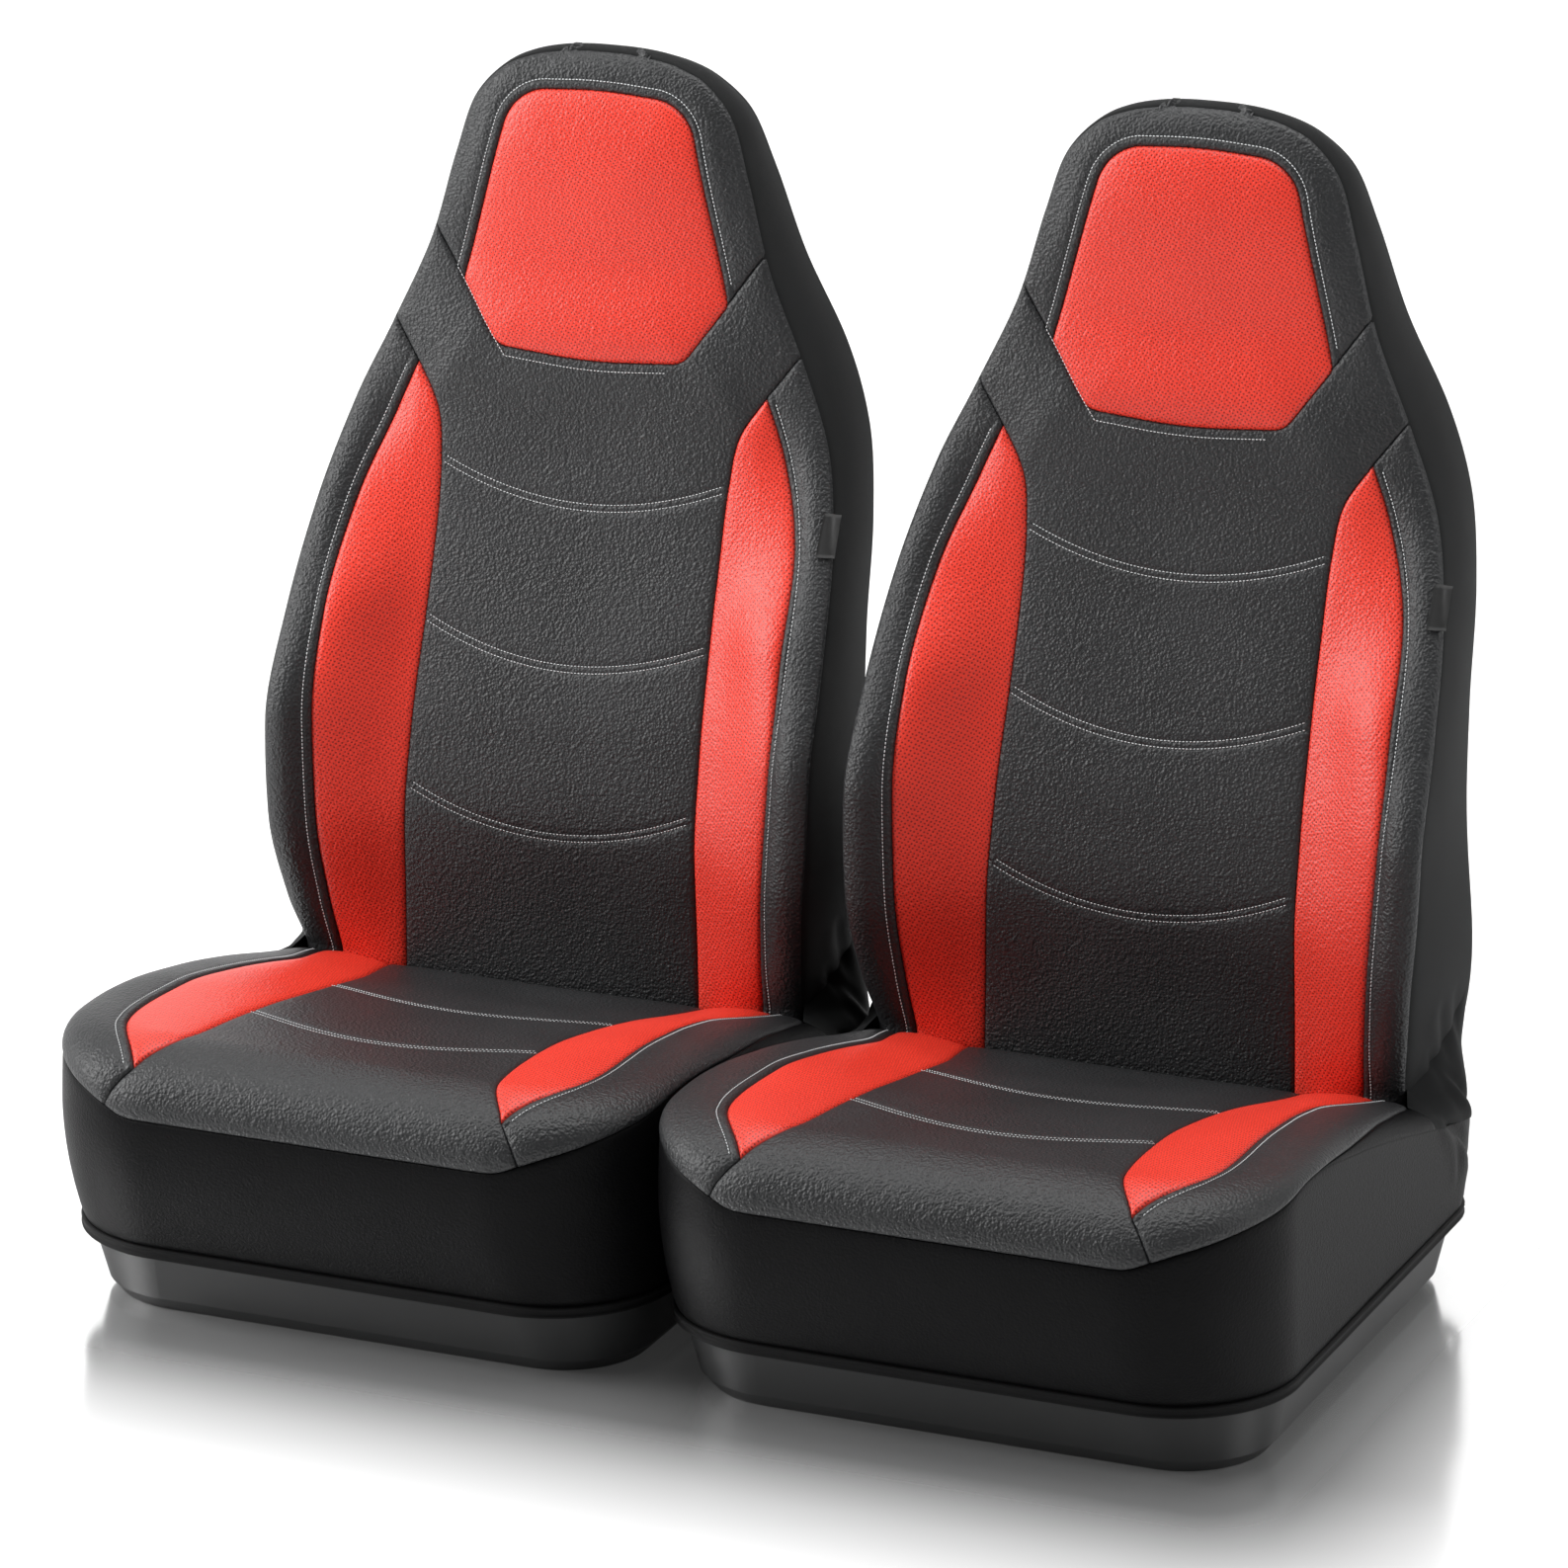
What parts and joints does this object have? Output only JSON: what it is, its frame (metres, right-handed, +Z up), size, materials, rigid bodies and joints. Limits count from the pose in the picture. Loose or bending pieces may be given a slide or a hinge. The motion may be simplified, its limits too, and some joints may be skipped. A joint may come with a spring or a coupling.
{
  "type": "seat cover set",
  "caption": "Pair of one-piece high-back bucket seat covers in black and red leatherette, fitted over padded carrier seats on plinths, with reclining backrests.",
  "frame": {"origin": "on the floor, at the centre of the footprint box of the pair", "axes": "+Z up; the seats face -Y; +X is to the right of someone who looks at the fronts of the seats"},
  "size_m": [1.142, 0.733, 1.033],
  "materials": {
    "black_leatherette": "satin",
    "red_leatherette": "satin",
    "stretch_fabric": "matte",
    "skirt_fabric": "matte",
    "hem_fabric": "matte",
    "tag_fabric": "matte",
    "plinth_plastic": "matte",
    "painted_steel": "satin",
    "bright_steel": "satin",
    "foam": "matte",
    "elastic": "matte"
  },
  "bodies": {
    "root": {"left_base": "plinth_plastic", "left_seat_pan": "painted_steel", "left_cushion_foam": "foam", "left_cushion_centre": "black_leatherette", "left_cushion_insert_l": "red_leatherette", "left_cushion_insert_r": "red_leatherette", "left_cushion_bolster_l": "black_leatherette", "left_cushion_bolster_r": "black_leatherette", "left_skirt": "skirt_fabric", "left_hem_band": "hem_fabric", "left_hem_elastic": "elastic", "left_anchor_flap": "hem_fabric", "left_anchor_tube": "foam", "left_recliner_brackets": "painted_steel", "left_recliner_pins": "bright_steel", "left_hip_gussets": "stretch_fabric", "left_rear_flap": "stretch_fabric", "right_base": "plinth_plastic", "right_seat_pan": "painted_steel", "right_cushion_foam": "foam", "right_cushion_centre": "black_leatherette", "right_cushion_insert_l": "red_leatherette", "right_cushion_insert_r": "red_leatherette", "right_cushion_bolster_l": "black_leatherette", "right_cushion_bolster_r": "black_leatherette", "right_skirt": "skirt_fabric", "right_hem_band": "hem_fabric", "right_hem_elastic": "elastic", "right_anchor_flap": "hem_fabric", "right_anchor_tube": "foam", "right_recliner_brackets": "painted_steel", "right_recliner_pins": "bright_steel", "right_hip_gussets": "stretch_fabric", "right_rear_flap": "stretch_fabric"},
    "backrest_left": {"left_back_frame": "painted_steel", "left_recliner_arms": "painted_steel", "left_back_foam": "foam", "left_head_insert": "red_leatherette", "left_head_surround": "black_leatherette", "left_back_centre": "black_leatherette", "left_back_insert_l": "red_leatherette", "left_back_insert_r": "red_leatherette", "left_back_bolster_l": "black_leatherette", "left_back_bolster_r": "black_leatherette", "left_back_gusset": "stretch_fabric", "left_rear_panel": "stretch_fabric", "left_seam_tag": "tag_fabric"},
    "backrest_right": {"right_back_frame": "painted_steel", "right_recliner_arms": "painted_steel", "right_back_foam": "foam", "right_head_insert": "red_leatherette", "right_head_surround": "black_leatherette", "right_back_centre": "black_leatherette", "right_back_insert_l": "red_leatherette", "right_back_insert_r": "red_leatherette", "right_back_bolster_l": "black_leatherette", "right_back_bolster_r": "black_leatherette", "right_back_gusset": "stretch_fabric", "right_rear_panel": "stretch_fabric", "right_seam_tag": "tag_fabric"}
  },
  "joints": [
    {"name": "recline_left", "type": "hinge", "parent": "root", "child": "backrest_left", "pos_m": [-0.287, 0.2025, 0.185], "axis": [-1, 0, 0], "range_deg": [-5, 40], "deforming": ["left_hip_gussets", "left_rear_flap"]},
    {"name": "recline_right", "type": "hinge", "parent": "root", "child": "backrest_right", "pos_m": [0.287, 0.2025, 0.185], "axis": [-1, 0, 0], "range_deg": [-5, 40], "deforming": ["right_hip_gussets", "right_rear_flap"]}
  ]
}
